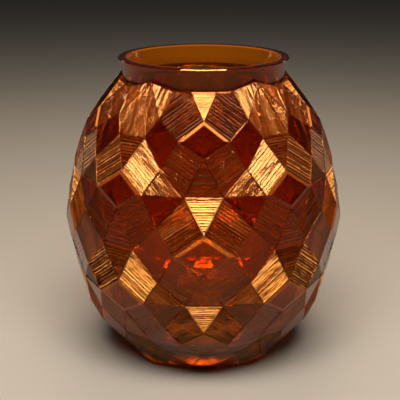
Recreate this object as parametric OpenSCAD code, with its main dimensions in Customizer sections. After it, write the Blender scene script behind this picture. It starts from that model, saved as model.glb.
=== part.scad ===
// Cut crystal vase: a thick crystal body cut all round into diamond bosses, a plain flared
// collar laid on above it, and an amber layer inside that runs from the rim down over the floor.
// The body is an egg of revolution, r = belly_r*cos(t) and z = belly_h + belly_run*sin(t). A point
// on it is given by its angle round the vase (0 is the front, -Y) and its profile angle t, which
// is 0 at the belly. Every boss is a flat diamond table with a bevel, and ten flats around it.

/* [Vase] */
// Height from the table to the top of the rim
height = 200; // [197:0.5:203]
// Radius of the egg at its widest
belly_r = 90.5; // [88:0.5:95]
// Height of the widest level
belly_h = 95; // [93:0.5:97]
// Half height of the whole egg, whose top and bottom are cut off
belly_run = 115; // [114:0.5:117]

/* [Cutting] */
// Bosses in one row
cells = 5; // [5:1:6]
// Step from one row to the next, as a profile angle
row_step = 17.5; // [17.2:0.1:17.7]
// How far the top and bottom corners of a diamond stand above the egg
boss_lift = 1.2; // [0.5:0.1:3]
// Half width of a diamond, as an angle round the vase
boss_half = 11.4; // [9:0.1:13]
// From the middle of a diamond up to its top corner, as a profile angle
boss_up = 6.4; // [5:0.1:7.5]
// From the middle of a diamond down to its bottom corner, as a profile angle
boss_down = 5.6; // [4:0.1:7]
// Size of the flat table on a diamond, as a share of the diamond
table_share = 0.8; // [0.7:0.01:0.9]
// Rise of the bevel from the edge of a diamond to its table
table_rise = 0.8; // [0.3:0.1:1.5]
// Half width of the short level edge above and below each boss, as an angle round the vase
edge_half = 7.6; // [6:0.1:9]
// Angle round the vase from a top row boss to the corner on its shoulder
shoulder_turn = 23; // [20:0.5:25]
// Height of that corner
shoulder_h = 171.5; // [169:0.5:174]
// Height of the points that the shoulder flats run up to on the collar
peak_h = 191; // [189:0.5:193]
// Distance of those points from the axis
peak_r = 55.2; // [55:0.1:57]

/* [Collar] */
// Height of the collar's foot
collar_h = 186; // [185:0.1:186.2]
// Outer radius at the foot of the collar
neck_r = 52.4; // [51:0.1:53]
// Outer radius at the rim
rim_r = 56; // [55:0.1:58]
// Inner radius at the rim
rim_inner_r = 48.7; // [47:0.1:50]
// Bevel on both edges of the rim
rim_bevel = 0.7; // [0.3:0.1:1.2]

/* [Inside] */
// Radius of the hollow at the belly
hollow_r = 80; // [76:0.5:81]
// Half height of the egg that the hollow is part of
hollow_run = 111.5; // [111:0.5:113]
// Height of the hollow's floor above the table
floor_h = 15; // [12:0.5:20]
// Rounding between the floor and the wall of the hollow
floor_round = 14; // [8:1:18]
// Lean of the hollow's wall in the collar, outwards for each millimetre of height
throat_lean = 0.3; // [0.2:0.01:0.4]
// Softening of the bend between the shoulder and the throat
throat_soft = 1.5; // [0.5:0.1:3]
// Thickness of the amber layer
lining_t = 2; // [1.2:0.1:3]

/* [Hidden] */
crystal_colour = [0.80, 0.74, 0.62, 0.55];
amber_colour = [0.72, 0.33, 0.04];
turn = 360 / cells;            // from one boss to the next in its row
rows = 6;                      // rows of bosses; the lowest is half cut off by the base
middle_row = 3;                // the row whose diamonds are level with the belly
SIDES = [-1, 1];               // left and right of a boss, seen from outside
TOP = 0;                       // corners of a diamond, clockwise from the top
RIGHT = 1;
BOTTOM = 2;
LEFT = 3;
apex_h = 189;                  // the cut body closes to a point here, inside the collar
nadir_h = -100;                // and here, far below the base, before the base is ground flat
curve_steps = 30;              // straight steps in a curved outline
round_steps = 8;               // straight steps in the rounding of the floor
collar_swell = 1.5;            // the collar's outline rises as this power of the height
$fn = 96;

// ---- points on the cut body ---------------------------------------------------------------------

function polar(r, angle, z) = [r * sin(angle), -r * cos(angle), z];
function egg_height(t) = belly_h + belly_run * sin(t);

// A point on the egg, or standing above it by lift
function on_egg(angle, t, lift = 0) =
    let (out = [cos(t) / belly_r, sin(t) / belly_run], n = out / norm(out))
    polar(belly_r * cos(t) + lift * n.x, angle, egg_height(t) + lift * n.y);

// A plane is [normal, distance]; meet() is the point where three planes cross
function plane(a, b, c) = let (n = cross(b - a, c - a)) [n, n * a];
function upright_plane(angle) = [[cos(angle), sin(angle), 0], 0];
function level_plane(z) = [[0, 0, 1], z];
function meet(p, q, s) =
    (p[1] * cross(q[0], s[0]) + q[1] * cross(s[0], p[0]) + s[1] * cross(p[0], q[0]))
    / (p[0] * cross(q[0], s[0]));

// Row k, boss j. Even rows stand between the bosses of the odd rows.
function is_odd(k) = k % 2 == 1;
function axis(k, j) = (is_odd(k) ? j : j + 0.5) * turn;
function level(k) = row_step * (middle_row - k);
// The neighbour of boss j in the next row up or down, on its left or right
function beside(k, j, side) = is_odd(k) ? (side > 0 ? j : j - 1) : (side > 0 ? j + 1 : j);

function diamond_tip(k, j, i) = on_egg(axis(k, j), level(k) + (i == TOP ? boss_up : -boss_down), boss_lift);
// The diamond's plane holds both tips and lies square to the boss's axis
function diamond_plane(k, j) =
    let (across = [cos(axis(k, j)), sin(axis(k, j)), 0], top = diamond_tip(k, j, TOP))
    plane(top, diamond_tip(k, j, BOTTOM), top + across);
function diamond_side(k, j, side) =
    meet(diamond_plane(k, j), upright_plane(axis(k, j) + side * boss_half), level_plane(egg_height(level(k))));
function diamond(k, j) =
    [diamond_tip(k, j, TOP), diamond_side(k, j, 1), diamond_tip(k, j, BOTTOM), diamond_side(k, j, -1)];
function table(k, j) =
    let (d = diamond(k, j), middle = (d[RIGHT] + d[LEFT]) / 2,
         n = cross(d[RIGHT] - d[LEFT], d[TOP] - d[BOTTOM]), rise = n / norm(n) * table_rise)
    [for (p = d) middle + table_share * (p - middle) + rise];

// The two ends of the level edge above boss j of row k
function edge_end(k, j, side) = on_egg(axis(k, j) + side * edge_half, level(k - 1));
// The flats above and below one side of a boss
function upper_flat(k, j, side) =
    plane(diamond_tip(k, j, TOP), edge_end(k, j, side), diamond_side(k, j, side));
function lower_flat(k, j, side) =
    plane(diamond_tip(k, j, BOTTOM), edge_end(k + 2, j, side), diamond_side(k, j, side));
// The corner where the upper flat of a boss meets the lower flat of the boss beside and above it
function valley(k, j, side) =
    k == 1
        ? meet(upper_flat(k, j, side), upright_plane(axis(k, j) + side * shoulder_turn),
               level_plane(shoulder_h))
        : meet(upper_flat(k, j, side), lower_flat(k - 1, beside(k, j, side), -side),
               upright_plane(axis(k, j) + side * turn / 4));
// The top row's upper flats end on the ledge below the collar
function ledge(j, side) =
    meet(upper_flat(1, j, side), upright_plane(axis(1, j) + side * turn / 4), level_plane(egg_height(level(0))));
function peak(j) = polar(peak_r, axis(0, j), peak_h);

// ---- the points in one list, and their numbers --------------------------------------------------

bosses = [0:cells - 1];
edge_points = [for (k = [1:rows + 2], j = bosses, side = SIDES) edge_end(k, j, side)];
valley_points = [for (k = [1:rows + 1], j = bosses, side = SIDES) valley(k, j, side)];
boss_points = [for (k = [1:rows], j = bosses) each concat(diamond(k, j), table(k, j))];
ledge_points = [for (j = bosses, side = SIDES) ledge(j, side)];
peak_points = [for (j = bosses) peak(j)];
end_points = [[0, 0, apex_h], [0, 0, nadir_h]];
body_points = concat(edge_points, valley_points, boss_points, ledge_points, peak_points, end_points);

valley_0 = len(edge_points);
boss_0 = valley_0 + len(valley_points);
ledge_0 = boss_0 + len(boss_points);
peak_0 = ledge_0 + len(ledge_points);
apex = peak_0 + len(peak_points);
nadir = apex + 1;

function wrap(j) = (j + cells) % cells;
function pair(j, side) = 2 * wrap(j) + (side > 0 ? 1 : 0);
function edge_no(k, j, side) = (k - 1) * 2 * cells + pair(j, side);
function valley_no(k, j, side) = valley_0 + (k - 1) * 2 * cells + pair(j, side);
function boss_no(k, j, i) = boss_0 + ((k - 1) * cells + wrap(j)) * 8 + i;
function table_no(k, j, i) = boss_no(k, j, i + 4);
function ledge_no(j, side) = ledge_0 + pair(j, side);
function peak_no(j) = peak_0 + wrap(j);

// ---- the flats, each clockwise seen from outside ------------------------------------------------

// A flat listed for the right side, turned round for the left
function handed(side, flat) = side > 0 ? flat : [for (i = [len(flat) - 1:-1:0]) flat[i]];

function boss_flats(k, j) =
    [[for (i = [0:3]) table_no(k, j, i)],
     for (i = [0:3]) [boss_no(k, j, i), boss_no(k, j, (i + 1) % 4), table_no(k, j, (i + 1) % 4), table_no(k, j, i)],
     [edge_no(k, j, -1), edge_no(k, j, 1), boss_no(k, j, TOP)],
     [boss_no(k, j, BOTTOM), edge_no(k + 2, j, 1), edge_no(k + 2, j, -1)],
     for (side = SIDES)
         let (corner = boss_no(k, j, side > 0 ? RIGHT : LEFT),
              high = valley_no(k, j, side),
              next = beside(k, j, side),
              far = edge_no(k + 1, next, -side),
              low = valley_no(k + 1, next, -side))
         each [handed(side, concat([boss_no(k, j, TOP), edge_no(k, j, side)],
                                   k == 1 ? [ledge_no(j, side)] : [], [high, corner])),
               handed(side, [corner, low, edge_no(k + 2, j, side), boss_no(k, j, BOTTOM)]),
               handed(side, [corner, high, far]),
               handed(side, [corner, far, low])]];

// Between the top row's bosses, flats run from the cutting up to a point on the collar
function shoulder_flats(j) =
    [[peak_no(j), edge_no(2, j, 1), edge_no(2, j, -1)],
     for (side = SIDES)
         let (next = beside(0, j, side), high = valley_no(1, next, -side))
         each [handed(side, [peak_no(j), high, edge_no(2, j, side)]),
               handed(side, [peak_no(j), ledge_no(next, -side), high])]];

upper_ring = [for (j = bosses)
    each [edge_no(1, j, -1), edge_no(1, j, 1), ledge_no(j, 1), peak_no(j), ledge_no(j + 1, -1)]];
lower_ring = [for (j = bosses)
    each [edge_no(rows + 1, j, -1), edge_no(rows + 1, j, 1), valley_no(rows + 1, j, 1),
          edge_no(rows + 2, j, -1), edge_no(rows + 2, j, 1), valley_no(rows + 1, j + 1, -1)]];
// Triangles from a ring to the point that closes it
function cap(ring, end) = [for (i = [0:len(ring) - 1]) [ring[i], ring[(i + 1) % len(ring)], end]];

body_flats = concat([for (k = [1:rows], j = bosses) each boss_flats(k, j)],
                    [for (j = bosses) each shoulder_flats(j)],
                    [for (flat = cap(upper_ring, apex)) handed(-1, flat)],
                    cap(lower_ring, nadir));

// ---- outlines of the turned surfaces ------------------------------------------------------------

collar_rise = height - collar_h;
function collar_radius(z) = neck_r + (rim_r - neck_r) * pow(max(0, z - collar_h) / collar_rise, collar_swell);

// The wall of the hollow, moved outwards by grow: the larger of the egg and the flared throat,
// softened where they cross, and rounded in to the floor
function soft_max(a, b, soft) = (a + b) / 2 + norm([(a - b) / 2, soft]);
function hollow_egg(z, grow) =
    (hollow_r + grow) * sqrt(max(0, 1 - pow((z - belly_h) / (hollow_run + grow), 2)));
function throat(z, grow) = rim_inner_r + grow - throat_lean * (height - z);
function wall_radius(z, grow) = soft_max(hollow_egg(z, grow), throat(z, grow), z > belly_h ? throat_soft : 0);
function floor_outline(grow) =
    let (base = floor_h - grow, bend = floor_round + grow)
    [for (i = [0:round_steps - 1]) let (a = 90 * i / round_steps, z = base + bend * (1 - cos(a)))
        [wall_radius(z, grow) - bend * (1 - sin(a)), z]];
function wall_outline(grow, top) =
    let (start = floor_h + floor_round)
    [for (i = [0:curve_steps]) let (z = start + (top - start) * i / curve_steps) [wall_radius(z, grow), z]];

module hollow_block(grow, top) {
    rotate_extrude()
        polygon(concat([[0, floor_h - grow]], floor_outline(grow), wall_outline(grow, top), [[0, top]]));
}

module collar_block() {
    shoulder = [for (i = [0:round_steps]) let (z = collar_h + (collar_rise - rim_bevel) * i / round_steps)
        [collar_radius(z), z]];
    rotate_extrude() polygon(concat([[0, collar_h]], shoulder, [[rim_r - rim_bevel, height], [0, height]]));
}

// Grinds the inner edge of the rim
module rim_bevel_cutter() {
    edge = rim_inner_r + rim_bevel;
    rotate_extrude()
        polygon([[0, height - edge], [edge + 1, height + 1], [0, height + 1]]);
}

// ---- the pieces ---------------------------------------------------------------------------------

module crystal_casing() {
    color(crystal_colour) difference() {
        polyhedron(points = body_points, faces = body_flats);
        translate([-belly_r, -belly_r, 2 * nadir_h]) cube([2 * belly_r, 2 * belly_r, -2 * nadir_h]);
        collar_block();
        hollow_block(lining_t, collar_h + 1);
    }
}

module crystal_collar() {
    color(crystal_colour) difference() {
        collar_block();
        hollow_block(lining_t, height);
    }
}

module amber_lining() {
    color(amber_colour) difference() {
        hollow_block(lining_t, height);
        hollow_block(0, height);
        rim_bevel_cutter();
    }
}

crystal_casing();
crystal_collar();
amber_lining();
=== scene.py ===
import bisect
import math
import random

import bmesh
import bpy
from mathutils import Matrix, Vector, noise


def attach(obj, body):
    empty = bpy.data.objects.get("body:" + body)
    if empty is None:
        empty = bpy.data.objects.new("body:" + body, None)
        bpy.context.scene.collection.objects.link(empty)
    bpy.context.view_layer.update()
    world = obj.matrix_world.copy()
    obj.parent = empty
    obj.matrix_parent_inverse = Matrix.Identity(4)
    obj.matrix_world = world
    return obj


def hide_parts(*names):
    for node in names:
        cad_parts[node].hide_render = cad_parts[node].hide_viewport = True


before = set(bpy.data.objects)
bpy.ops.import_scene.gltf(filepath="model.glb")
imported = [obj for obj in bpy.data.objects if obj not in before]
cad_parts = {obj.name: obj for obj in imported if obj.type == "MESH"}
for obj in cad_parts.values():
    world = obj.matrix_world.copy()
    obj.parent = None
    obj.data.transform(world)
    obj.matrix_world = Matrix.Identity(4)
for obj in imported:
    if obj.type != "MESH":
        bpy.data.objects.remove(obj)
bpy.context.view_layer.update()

MM = 0.001
HEIGHT = 200 * MM
ROOT = "root"

# The egg that the vase is cut from, and the cutter's marking out on it: angles round the vase
# from the front, and angles up its profile from the belly, in degrees.
BELLY_R = 90.5 * MM
BELLY_H = 95 * MM
BELLY_RUN = 115 * MM
TURN = 72
ROW_STEP = 17.5
ROWS = 6
MIDDLE_ROW = 3
BOSS_HALF = 11.4
BOSS_UP = 6.4
BOSS_DOWN = 5.6
EDGE_HALF = 7.6
VALLEY_TURN = 18
SHOULDER_TURN = 22.5    # past this angle from a top row boss, and above
SHOULDER_T = 38         # this one up the profile, a flat belongs to the shoulder

# The collar, the hollow and the amber layer
COLLAR_H = 186 * MM
NECK_R = 52.4 * MM
RIM_R = 56 * MM
RIM_INNER_R = 48.7 * MM
RIM_BEVEL = 0.7 * MM
COLLAR_SWELL = 1.5
HOLLOW_R = 80 * MM
HOLLOW_RUN = 111.5 * MM
FLOOR_H = 15 * MM
FLOOR_ROUND = 14 * MM
THROAT_LEAN = 0.3
THROAT_SOFT = 1.5 * MM
LINING_T = 2 * MM
LAP = 0.12 * MM      # the layers run into each other by this much, so no ray slips between them

LATHE_STEPS = 192
BORDER = 0.5 * MM    # the strokes stop this far inside the edge of their flat
WELD = 0.002 * MM    # corners nearer than this are one corner
LEAST_CUT = 30 * MM * MM    # smaller flats, such as those against the collar, have no strokes

# ---- materials ----------------------------------------------------------------------------------

GLASS_IOR = 1.52
GLINT = "FFC478"         # the warm cast of light mirrored in the glass
CRYSTAL = "8C3605"       # amber-tinted crystal, seen through its thick wall
COLLAR_TINT = "8C3404"   # the same glass in the collar
AMBER = "EC840F"         # the layer inside
SATIN = "FFAF52"         # the bloom that the wheel leaves
GROOVE_PAINTED_SHADE = "2A0C02"        # painted shade: the dark colour given to the side of a stroke that faces down


def colour(hex_value):
    """A linear colour from its sRGB hex value."""
    parts = [int(hex_value[i:i + 2], 16) / 255 for i in (0, 2, 4)]
    return tuple(c / 12.92 if c <= 0.04045 else ((c + 0.055) / 1.055) ** 2.4 for c in parts) + (1,)


def add(tree, kind, settings=None, **inputs):
    """Adds a node: its own settings, and its sockets by name, each a value or a node's output."""
    made = tree.nodes.new(kind)
    for name, value in (settings or {}).items():
        setattr(made, name, value)
    for name, value in inputs.items():
        socket = made.inputs[int(name[1:]) if name[1:].isdigit() else name.replace("_", " ")]
        if isinstance(value, bpy.types.NodeSocket):
            tree.links.new(value, socket)
        else:
            socket.default_value = value
    return made


def material(name):
    """A new material with an empty node tree."""
    made = bpy.data.materials.new(name)
    made.use_nodes = True
    made.node_tree.nodes.clear()
    return made, made.node_tree


def polished_glass(name, tint, roughness, wave_mm, wave_height):
    """Polished crystal. Slow waves left by the polishing bend what shows through it a little."""
    made, tree = material(name)
    where = add(tree, "ShaderNodeTexCoord")
    wave = add(tree, "ShaderNodeTexNoise", Vector=where.outputs["Object"], Scale=1 / (wave_mm * MM),
               Detail=1.5, Roughness=0.4)
    bump = add(tree, "ShaderNodeBump", Strength=1.0, Distance=wave_height * MM,
               Height=wave.outputs["Fac"])
    glass = add(tree, "ShaderNodeBsdfPrincipled", Base_Color=colour(tint), Roughness=roughness,
                IOR=GLASS_IOR, Specular_IOR_Level=0.25, Transmission_Weight=1.0,
                Specular_Tint=colour(GLINT), Normal=bump.outputs["Normal"])
    add(tree, "ShaderNodeOutputMaterial", Surface=glass.outputs["BSDF"])
    return made


def stroked_glass():
    """Crystal as the wheel left it: fine scratches along each stroke, and a satin bloom that
    catches light where the acid polish didn't clear it. The side of each stroke that faces down
    is given a dark colour as painted shade."""
    made, tree = material("wheel_cut_crystal")
    uv = add(tree, "ShaderNodeUVMap", {"uv_map": "strokes"})
    # One unit of the map is a millimetre, with x along the stroke and y across it. A scratch is
    # about 6 mm long and 0.4 mm wide, which is coarser than the grit leaves, so that it shows.
    place = add(tree, "ShaderNodeMapping", Vector=uv.outputs["UV"])
    place.inputs["Scale"].default_value = (0.16, 2.4, 1)
    scratch = add(tree, "ShaderNodeTexNoise", Vector=place.outputs["Vector"], Scale=1.0,
                  Detail=3.0, Roughness=0.6)
    bump = add(tree, "ShaderNodeBump", Strength=1.0, Distance=0.06 * MM,
               Height=scratch.outputs["Fac"])
    satin = add(tree, "ShaderNodeAttribute", {"attribute_name": "satin"})
    patchy = add(tree, "ShaderNodeMapRange", Value=scratch.outputs["Fac"],
                 From_Min=0.38, From_Max=0.62, To_Min=0.35, To_Max=1.35)
    bloom = add(tree, "ShaderNodeMath", {"operation": "MULTIPLY", "use_clamp": True},
                _0=satin.outputs["Fac"], _1=patchy.outputs["Result"])
    clear = add(tree, "ShaderNodeMath", {"operation": "SUBTRACT", "use_clamp": True},
                _0=1.0, _1=bloom.outputs["Value"])
    tint = add(tree, "ShaderNodeMix", {"data_type": "RGBA"}, _0=bloom.outputs["Value"],
               _6=colour(CRYSTAL), _7=colour(SATIN))
    # painted shade: the steep side of a stroke faces down and holds no light, so it is given a dark
    # colour and reads as a dark line
    shade = add(tree, "ShaderNodeAttribute", {"attribute_name": "shade"})
    painted_shade_lines = add(tree, "ShaderNodeMix", {"data_type": "RGBA"}, _0=shade.outputs["Fac"],
                _6=tint.outputs[2], _7=colour(GROOVE_PAINTED_SHADE))
    haze = add(tree, "ShaderNodeMapRange", Value=bloom.outputs["Value"], To_Min=0.08, To_Max=0.5)
    glass = add(tree, "ShaderNodeBsdfPrincipled", Base_Color=painted_shade_lines.outputs[2],
                Roughness=haze.outputs["Result"], IOR=GLASS_IOR,
                Transmission_Weight=clear.outputs["Value"], Specular_Tint=colour(GLINT),
                Normal=bump.outputs["Normal"])
    add(tree, "ShaderNodeOutputMaterial", Surface=glass.outputs["BSDF"])
    return made


def joined_glass():
    """Where two layers are fused there is no surface to see."""
    made, tree = material("fused_joint")
    clear = add(tree, "ShaderNodeBsdfTransparent")
    add(tree, "ShaderNodeOutputMaterial", Surface=clear.outputs["BSDF"])
    return made


def amber_glass():
    """Amber glass, blown smooth. Its colour is laid on the wall of the hollow."""
    made, tree = material("amber_glass")
    glass = add(tree, "ShaderNodeBsdfPrincipled", Base_Color=colour(AMBER), Roughness=0.0,
                IOR=GLASS_IOR, Transmission_Weight=0.93, Specular_Tint=colour(GLINT))
    add(tree, "ShaderNodeOutputMaterial", Surface=glass.outputs["BSDF"])
    return made


CUT = polished_glass("polished_cut_crystal", CRYSTAL, 0.02, 14, 0.05)
STROKES = stroked_glass()
JOINED = joined_glass()
FIRE_POLISHED = polished_glass("fire_polished_crystal", COLLAR_TINT, 0.0, 30, 0.1)
AMBER_GLASS = amber_glass()

# ---- measuring on the egg -----------------------------------------------------------------------


def on_egg(turn, t):
    """The point of the egg at an angle round the vase and an angle up its profile."""
    a, u = math.radians(turn), math.radians(t)
    r = BELLY_R * math.cos(u)
    return Vector((r * math.sin(a), -r * math.cos(a), BELLY_H + BELLY_RUN * math.sin(u)))


def read_egg(p):
    """The angle round the vase and the angle up its profile of a point."""
    lift = max(-1.0, min(1.0, (p.z - BELLY_H) / BELLY_RUN))
    return math.degrees(math.atan2(p.x, -p.y)), math.degrees(math.asin(lift))


def level(row):
    """The angle up the profile of the middle of a row."""
    return ROW_STEP * (MIDDLE_ROW - row)


def nearest_boss(turn, row):
    """The angle of the row's boss that is nearest."""
    start = 0 if row % 2 else TURN / 2
    return start + TURN * round((turn - start) / TURN)


# Where the middle of each kind of flat lies from the middle of its boss, in degrees: round the
# vase, and up the profile
KINDS = {
    "above": (0, 13.8),
    "below": (0, -13.5),
    "upper": (9.25, 8.2),
    "lower": (9.25, -8.2),
    "side_above": (19.3, 3),
    "side_below": (19.3, -3),
}


def kind_of(flat):
    """(kind, row, angle of its boss, side of it) for a flat of the cutting."""
    turn, t = read_egg(flat.calc_center_median_weighted())
    nearest = None
    for row in range(1, ROWS + 1):
        boss = nearest_boss(turn, row)
        off, up = turn - boss, t - level(row)
        side = 1 if off > 0 else -1
        reach = BOSS_UP if up > 0 else BOSS_DOWN
        share = abs(off) / BOSS_HALF + abs(up) / reach    # 0 in its middle, 1 at its edge
        if share < 1.03:
            return ("bevel" if share > 0.35 and up > 0 else "diamond"), row, boss, side
        for kind, (k_off, k_up) in KINDS.items():
            away = math.hypot(abs(off) - k_off, up - k_up)
            if nearest is None or away < nearest[0]:
                nearest = (away, kind, row, boss, side)
    if t > SHOULDER_T and abs(turn - nearest_boss(turn, 1)) > SHOULDER_TURN:
        peak = nearest_boss(turn, 0)
        return "shoulder", 0, peak, 1 if turn > peak else -1
    return nearest[1:]


def stroke_line(kind, row, boss, side, t):
    """The way the wheel ran on a flat."""
    middle = level(row)
    if kind in ("above", "below"):
        return on_egg(boss + 5, t) - on_egg(boss - 5, t)
    if kind == "upper":
        return on_egg(boss + side * BOSS_HALF, middle) - on_egg(boss, middle + BOSS_UP)
    if kind == "lower":
        return on_egg(boss + side * BOSS_HALF, middle) - on_egg(boss, middle - BOSS_DOWN)
    if kind == "side_above":
        corner = on_egg(boss + side * VALLEY_TURN, middle + ROW_STEP / 2)
        return on_egg(boss + side * (TURN / 2 - EDGE_HALF), middle) - corner
    return on_egg(boss, 55) - on_egg(boss, 35)


# What the wheel left on each kind of flat: distance between strokes in millimetres, and the slope
# in degrees of the side of a stroke that faces up and of the side that faces down
STROKE = {
    "above": (1.7, 31, 52),
    "upper": (1.75, 31, 50),
    "lower": (2.2, 11, 26),
    "below": (2.2, 11, 26),
    "side_above": (1.6, 32, 42),
    "shoulder": (1.35, 28, 46),
}
# Other slopes on some rows
SLOPES = {("above", 5): (50, 60), ("upper", 4): (50, 50), ("above", 4): (46, 46),
          ("upper", 1): (32, 40), ("above", 1): (2, 12)}
# Flats that were polished clear again
PLAIN = {("side_above", 1), ("side_above", 3), ("side_above", 5), ("side_above", 6)}
# How much of the satin bloom is left, from 0 to 1, by kind and row, and by kind on other rows
BLOOM = {("above", 1): 0.5, ("above", 3): 0.6, ("above", 5): 0.85, "above": 0.12,
         ("upper", 1): 0.1, ("upper", 2): 0.3, ("upper", 3): 0.16, ("upper", 4): 0.6, "upper": 0.12,
         "lower": 0.06, "below": 0.06, "side_above": 0.2, "shoulder": 0.16,
         ("bevel", 1): 0.45, ("bevel", 3): 0.3, "bevel": 0.2}


# ---- the cut casing -----------------------------------------------------------------------------

STROKED, FUSED = 1, 2    # its material slots; 0 is polished glass
WANDER = 0.35 * MM       # how far a hand-held stroke strays from a straight line
SHAKE = 0.35             # how much its depth changes, as a share


def cut_along(bm, part, point, square_to):
    """Cuts faces along a plane, and returns all the faces."""
    edges = {e for f in part for e in f.edges}
    verts = {v for f in part for v in f.verts}
    done = bmesh.ops.bisect_plane(bm, geom=[*verts, *edges, *part], dist=1e-7, plane_co=point,
                                  plane_no=square_to)
    return [g for g in done["geom"] if isinstance(g, bmesh.types.BMFace)]


def rows_of_strokes(low, high, pitch, up_slope, down_slope, rng):
    """(distance across, depth) of the ridge and then the bottom of each stroke in turn."""
    lines, u = [], low - rng.random() * pitch
    while u < high + pitch:
        step = pitch * rng.uniform(0.72, 1.3)
        up = math.tan(math.radians(up_slope * rng.uniform(0.82, 1.18)))
        down = math.tan(math.radians(down_slope * rng.uniform(0.85, 1.15)))
        depth = step / (1 / up + 1 / down)
        lines += [(u, 0.0), (u + depth / up, depth)]    # the side that faces up comes first
        u += step
    return lines


def cut_flat(corners, normal, along, towards, pitch, slopes, bloom, rng):
    """One flat of the cutting as a mesh of its own, cut with rows of strokes. Its outline stays.
    The sides of the strokes that face up face the towards direction."""
    bm = bmesh.new()
    uv = bm.loops.layers.uv.new("strokes")
    satin = bm.faces.layers.float.new("satin")
    shade = bm.faces.layers.float.new("shade")
    flat = bm.faces.new([bm.verts.new(c) for c in corners])
    flat.normal_update()
    centre = flat.calc_center_median_weighted()
    along = (along - along.dot(normal) * normal).normalized()
    across = normal.cross(along)
    if across.dot(towards) < 0:
        across.negate()
    border = bmesh.ops.inset_individual(bm, faces=[flat], thickness=BORDER, depth=0,
                                        use_even_offset=True)["faces"]
    spots = [v.co - centre for v in flat.verts]
    low, high = min(p.dot(across) for p in spots), max(p.dot(across) for p in spots)
    left, right = min(p.dot(along) for p in spots), max(p.dot(along) for p in spots)
    lines = rows_of_strokes(low, high, pitch, *slopes, rng)
    done, rest = [], [flat]
    for u, _ in lines:
        if low + 0.02 * MM < u < high - 0.02 * MM:
            cut, rest = cut_along(bm, rest, centre + across * u, across), []
            for f in cut:
                (rest if (f.calc_center_median() - centre).dot(across) > u else done).append(f)
    faces = done + rest
    # cuts across the strokes, so that they can wander and change in depth
    s = left + rng.uniform(1.0, 3.0) * MM
    while s < right - 0.3 * MM:
        faces = cut_along(bm, faces, centre + along * s, along)
        s += rng.uniform(2.2, 4.2) * MM

    keys = [u for u, _ in lines]
    seed = Vector((rng.uniform(0, 100), rng.uniform(0, 100), 0))
    for v in {v for f in faces for v in f.verts}:
        u, s = (v.co - centre).dot(across), (v.co - centre).dot(along)
        i = bisect.bisect(keys, u)
        (u0, d0), (u1, d1) = lines[max(0, i - 1)], lines[min(i, len(lines) - 1)]
        share = 0 if u1 == u0 else max(0.0, min(1.0, (u - u0) / (u1 - u0)))
        depth = d0 + (d1 - d0) * share
        wander = noise.noise(seed + Vector((s / (9 * MM), u / (4 * MM), 0)))
        shake = noise.noise(seed + Vector((s / (3 * MM), u / (0.7 * MM), 7)))
        v.co += across * (WANDER * wander) - normal * (depth * (1 + SHAKE * shake))
    bmesh.ops.triangulate(bm, faces=border)    # its inner edge now goes in and out
    shares = [bloom * rng.uniform(0.5, 1.4) for _ in lines]
    for f in bm.faces:
        f.material_index = STROKED
        i = bisect.bisect(keys, (f.calc_center_median() - centre).dot(across)) - 1
        # painted shade: the side of a stroke that faces down is marked for the dark colour, and
        # gets only a third of the bloom
        faces_up = i % 2 == 0
        f[satin] = shares[max(0, i)] * (1.0 if faces_up else 0.3)
        f[shade] = 0.0 if faces_up else 1.0
        for loop in f.loops:    # each flat takes its own part of the scratches
            d = loop.vert.co - centre
            loop[uv].uv = (d.dot(along) / MM + 200 * seed.x, d.dot(across) / MM + 200 * seed.y)
    bmesh.ops.recalc_face_normals(bm, faces=bm.faces)
    faces[0].normal_update()
    if faces[0].normal.dot(normal) < 0:
        bmesh.ops.reverse_faces(bm, faces=bm.faces)
    mesh = bpy.data.meshes.new("flat")
    bm.to_mesh(mesh)
    bm.free()
    return mesh


def fused(f, c, r):
    """Whether a face of the casing lies against the lining or the collar."""
    out = Vector((c.x, c.y, 0)).normalized()
    if c.z < 1 * MM:
        return False
    if r < 3 * MM:
        return True    # the floor of the hollow
    if f.normal.dot(out) < 0.05 and r < wall_radius(c.z, LINING_T) + 1 * MM:
        return True
    return c.z > COLLAR_H - 0.05 * MM and (f.normal.z > 0.99 or f.normal.dot(out) < 0)


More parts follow.
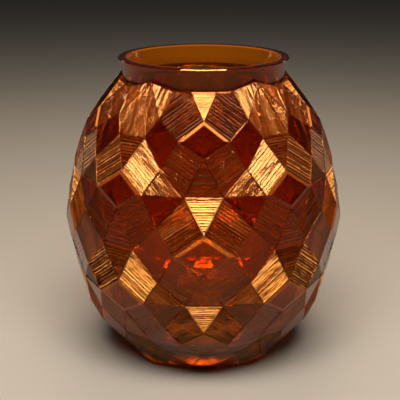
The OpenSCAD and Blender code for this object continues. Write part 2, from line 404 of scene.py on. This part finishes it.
def cut_casing():
    """A copy of the casing with its strokes cut in."""
    bm = bmesh.new()
    bm.from_mesh(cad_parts["crystal_casing"].data)
    bmesh.ops.remove_doubles(bm, verts=bm.verts, dist=WELD)
    bmesh.ops.dissolve_limit(bm, angle_limit=math.radians(0.15), verts=bm.verts, edges=bm.edges,
                             use_dissolve_boundaries=False)
    bm.normal_update()
    bm.loops.layers.uv.new("strokes")
    satin = bm.faces.layers.float.new("satin")
    bm.faces.layers.float.new("shade")
    jobs = []
    for f in bm.faces:
        f.smooth = False
        c = f.calc_center_median_weighted()
        turn, t = read_egg(c)
        if fused(f, c, math.hypot(c.x, c.y)):
            f.material_index = FUSED
        elif c.z > 0.1 * MM:
            kind, row, boss, side = kind_of(f)
            cuts = kind in STROKE and (kind, row) not in PLAIN
            if cuts and f.calc_area() > LEAST_CUT and f.normal.z < 0.9:
                jobs.append((round(turn, 1), round(t, 1), f, kind, row, boss, side))
            elif kind == "bevel":
                f[satin] = BLOOM.get((kind, row), BLOOM[kind])
                f.material_index = STROKED
    jobs.sort(key=lambda j: j[:2])
    rng = random.Random(11)
    cut = []
    for turn, t, f, kind, row, boss, side in jobs:
        pitch, *slopes = STROKE[kind]
        slopes = SLOPES.get((kind, row), slopes)
        along = stroke_line(kind, row, boss, side, t)
        towards = Vector((-turn, 0, 0)) if kind == "shoulder" else Vector((0, 0, 1))
        cut.append(cut_flat([v.co.copy() for v in f.verts], f.normal.copy(), along, towards,
                            pitch * MM, slopes, BLOOM.get((kind, row), BLOOM[kind]), rng))
    bmesh.ops.delete(bm, geom=[j[2] for j in jobs], context="FACES_ONLY")
    for mesh in cut:
        bm.from_mesh(mesh)
        bpy.data.meshes.remove(mesh)
    bmesh.ops.remove_doubles(bm, verts=bm.verts, dist=WELD)
    print("strokes on", len(cut), "flats;", len(bm.faces), "faces; open edges",
          sum(1 for e in bm.edges if not e.is_manifold))
    mesh = bpy.data.meshes.new("crystal_casing_cut")
    bm.to_mesh(mesh)
    bm.free()
    for m in (CUT, STROKES, JOINED):    # in the order of the slots
        mesh.materials.append(m)
    piece = bpy.data.objects.new("crystal_casing_cut", mesh)
    bpy.context.scene.collection.objects.link(piece)
    return piece


# ---- the turned pieces --------------------------------------------------------------------------


def wall_radius(z, grow):
    """Radius of the hollow's wall, moved outwards by grow."""
    egg = (HOLLOW_R + grow) * math.sqrt(max(0, 1 - ((z - BELLY_H) / (HOLLOW_RUN + grow)) ** 2))
    throat = RIM_INNER_R + grow - THROAT_LEAN * (HEIGHT - z)
    soft = THROAT_SOFT if z > BELLY_H else 0
    return (egg + throat) / 2 + math.hypot((egg - throat) / 2, soft)


def heights(low, high, steps):
    return [low + (high - low) * i / steps for i in range(steps + 1)]


def wall_outline(grow, top):
    """Points from the middle of the floor, round its edge and up the wall."""
    base, bend = FLOOR_H - grow, FLOOR_ROUND + grow
    points = [(0, base)]
    for i in range(12):
        a = math.pi / 2 * i / 12
        z = base + bend * (1 - math.cos(a))
        points.append((wall_radius(z, grow) - bend * (1 - math.sin(a)), z))
    return points + [(wall_radius(z, grow), z) for z in heights(FLOOR_H + FLOOR_ROUND, top, 72)]


def turned(name, outline, slots, paint):
    """Turns a closed outline, or one that starts and ends on the axis, into a piece. paint gives
    the slot of a face."""
    bm = bmesh.new()
    verts = [bm.verts.new((r, 0, z)) for r, z in outline]
    edges = [bm.edges.new((verts[i], verts[i + 1])) for i in range(len(verts) - 1)]
    if outline[0][0] > 0:
        edges.append(bm.edges.new((verts[-1], verts[0])))
    bmesh.ops.spin(bm, geom=verts + edges, cent=(0, 0, 0), axis=(0, 0, 1), dvec=(0, 0, 0),
                   angle=2 * math.pi, steps=LATHE_STEPS, use_merge=True, use_normal_flip=False,
                   use_duplicate=False)
    bmesh.ops.remove_doubles(bm, verts=bm.verts, dist=WELD)
    bmesh.ops.recalc_face_normals(bm, faces=bm.faces)
    for f in bm.faces:
        f.smooth = True
        f.material_index = paint(f)
    for e in bm.edges:
        if len(e.link_faces) == 2 and e.calc_face_angle() > math.radians(20):
            e.smooth = False
    mesh = bpy.data.meshes.new(name)
    bm.to_mesh(mesh)
    bm.free()
    for m in slots:
        mesh.materials.append(m)
    piece = bpy.data.objects.new(name, mesh)
    bpy.context.scene.collection.objects.link(piece)
    return piece


def collar_radius(z):
    """Outer radius of the collar."""
    rise = HEIGHT - COLLAR_H
    return NECK_R + (RIM_R - NECK_R) * (max(0, z - COLLAR_H) / rise) ** COLLAR_SWELL


def outwards(f):
    """How far a face points away from the axis, from -1 to 1."""
    c = f.calc_center_median()
    return f.normal.dot(Vector((c.x, c.y, 0)).normalized())


def make_collar():
    """The plain flared collar, fire polished, with a flat, bevelled rim."""
    inner = [(wall_radius(z, LINING_T - LAP), z) for z in heights(COLLAR_H, HEIGHT, 16)]
    outer = [(collar_radius(z), z) for z in heights(COLLAR_H, HEIGHT - RIM_BEVEL, 24)]
    outline = outer + [(RIM_R - RIM_BEVEL, HEIGHT)] + inner[::-1]

    def paint(f):
        return 1 if f.normal.z < -0.9 or outwards(f) < -0.5 else 0

    return turned("crystal_collar_polished", outline, (FIRE_POLISHED, JOINED), paint)


def make_lining():
    """The amber layer, from the floor of the hollow up to the bevel of the rim."""
    bevel_foot = HEIGHT - RIM_BEVEL
    inner = [p for p in wall_outline(0, HEIGHT) if p[1] < bevel_foot - 0.1 * MM]
    inner += [(wall_radius(bevel_foot, 0), bevel_foot), (RIM_INNER_R + RIM_BEVEL, HEIGHT)]
    outline = wall_outline(LINING_T, HEIGHT) + inner[::-1]

    def paint(f):
        if abs(f.normal.z) > 0.99:
            return 1 if f.normal.z < 0 else 0
        if f.calc_center_median().z > bevel_foot - 0.05 * MM and f.normal.z > 0.3:
            return 0
        return 1 if outwards(f) > 0 else 0

    return turned("amber_lining_glass", outline, (AMBER_GLASS, JOINED), paint)


casing = cut_casing()
collar = make_collar()
lining = make_lining()
for piece, node, slot in ((casing, "crystal_casing", "cut_crystal"),
                          (collar, "crystal_collar", "polished_crystal"),
                          (lining, "amber_lining", "amber_glass")):
    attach(piece, ROOT)
    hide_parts(node)

# ---- floor, light and camera --------------------------------------------------------------------


def floor():
    """A plain matt floor."""
    bm = bmesh.new()
    bmesh.ops.create_grid(bm, x_segments=1, y_segments=1, size=6)
    mesh = bpy.data.meshes.new("floor")
    bm.to_mesh(mesh)
    bm.free()
    made, tree = material("pale_floor_paint")
    paint = add(tree, "ShaderNodeBsdfPrincipled", Base_Color=colour("6E6C68"), Roughness=0.6)
    add(tree, "ShaderNodeOutputMaterial", Surface=paint.outputs["BSDF"])
    mesh.materials.append(made)
    piece = bpy.data.objects.new("floor", mesh)
    bpy.context.scene.collection.objects.link(piece)


def softbox(name, towards, distance, size, radiance, tint, aim=Vector((0, 0, 0.1))):
    """A flat soft light that faces the vase."""
    lamp = bpy.data.lights.new(name, "AREA")
    lamp.shape = "RECTANGLE"
    lamp.size, lamp.size_y = size
    lamp.energy = radiance * math.pi * size[0] * size[1]
    lamp.color = colour(tint)[:3]
    holder = bpy.data.objects.new(name, lamp)
    way = Vector(towards).normalized()
    holder.location = aim + way * distance
    holder.rotation_euler = way.to_track_quat("Z", "Y").to_euler()
    bpy.context.scene.collection.objects.link(holder)


floor()
softbox("overhead_softbox", (0, -0.45, 0.89), 0.9, (0.72, 0.46), 34, "FFF1E0")
softbox("rear_softbox", (0, 0.45, 0.89), 0.9, (0.6, 0.34), 12, "FFE6C8")
softbox("left_strip", (-0.75, 0.75, 0.3), 0.8, (0.10, 0.6), 1.5, "FFCF9A")
softbox("right_strip", (0.75, 0.75, 0.3), 0.8, (0.10, 0.6), 1.5, "FFCF9A")
world = bpy.data.worlds.new("studio")
world.use_nodes = True
world.node_tree.nodes["Background"].inputs["Color"].default_value = colour("FFFFFF")
world.node_tree.nodes["Background"].inputs["Strength"].default_value = 0.03
bpy.context.scene.world = world

scene = bpy.context.scene
lens = bpy.data.cameras.new("camera")
lens.lens = 80.5
lens.sensor_width = 36
camera = bpy.data.objects.new("camera", lens)
camera.location = (-0.0023, -0.5833, 0.2893)
camera.rotation_euler = (math.radians(90 - 17.89), 0, 0)
lens.clip_start = 0.01
scene.collection.objects.link(camera)
scene.camera = camera
scene.view_settings.view_transform = "Standard"
scene.cycles.max_bounces = 24
scene.cycles.transmission_bounces = 24
scene.cycles.glossy_bounces = 8
scene.cycles.transparent_max_bounces = 32
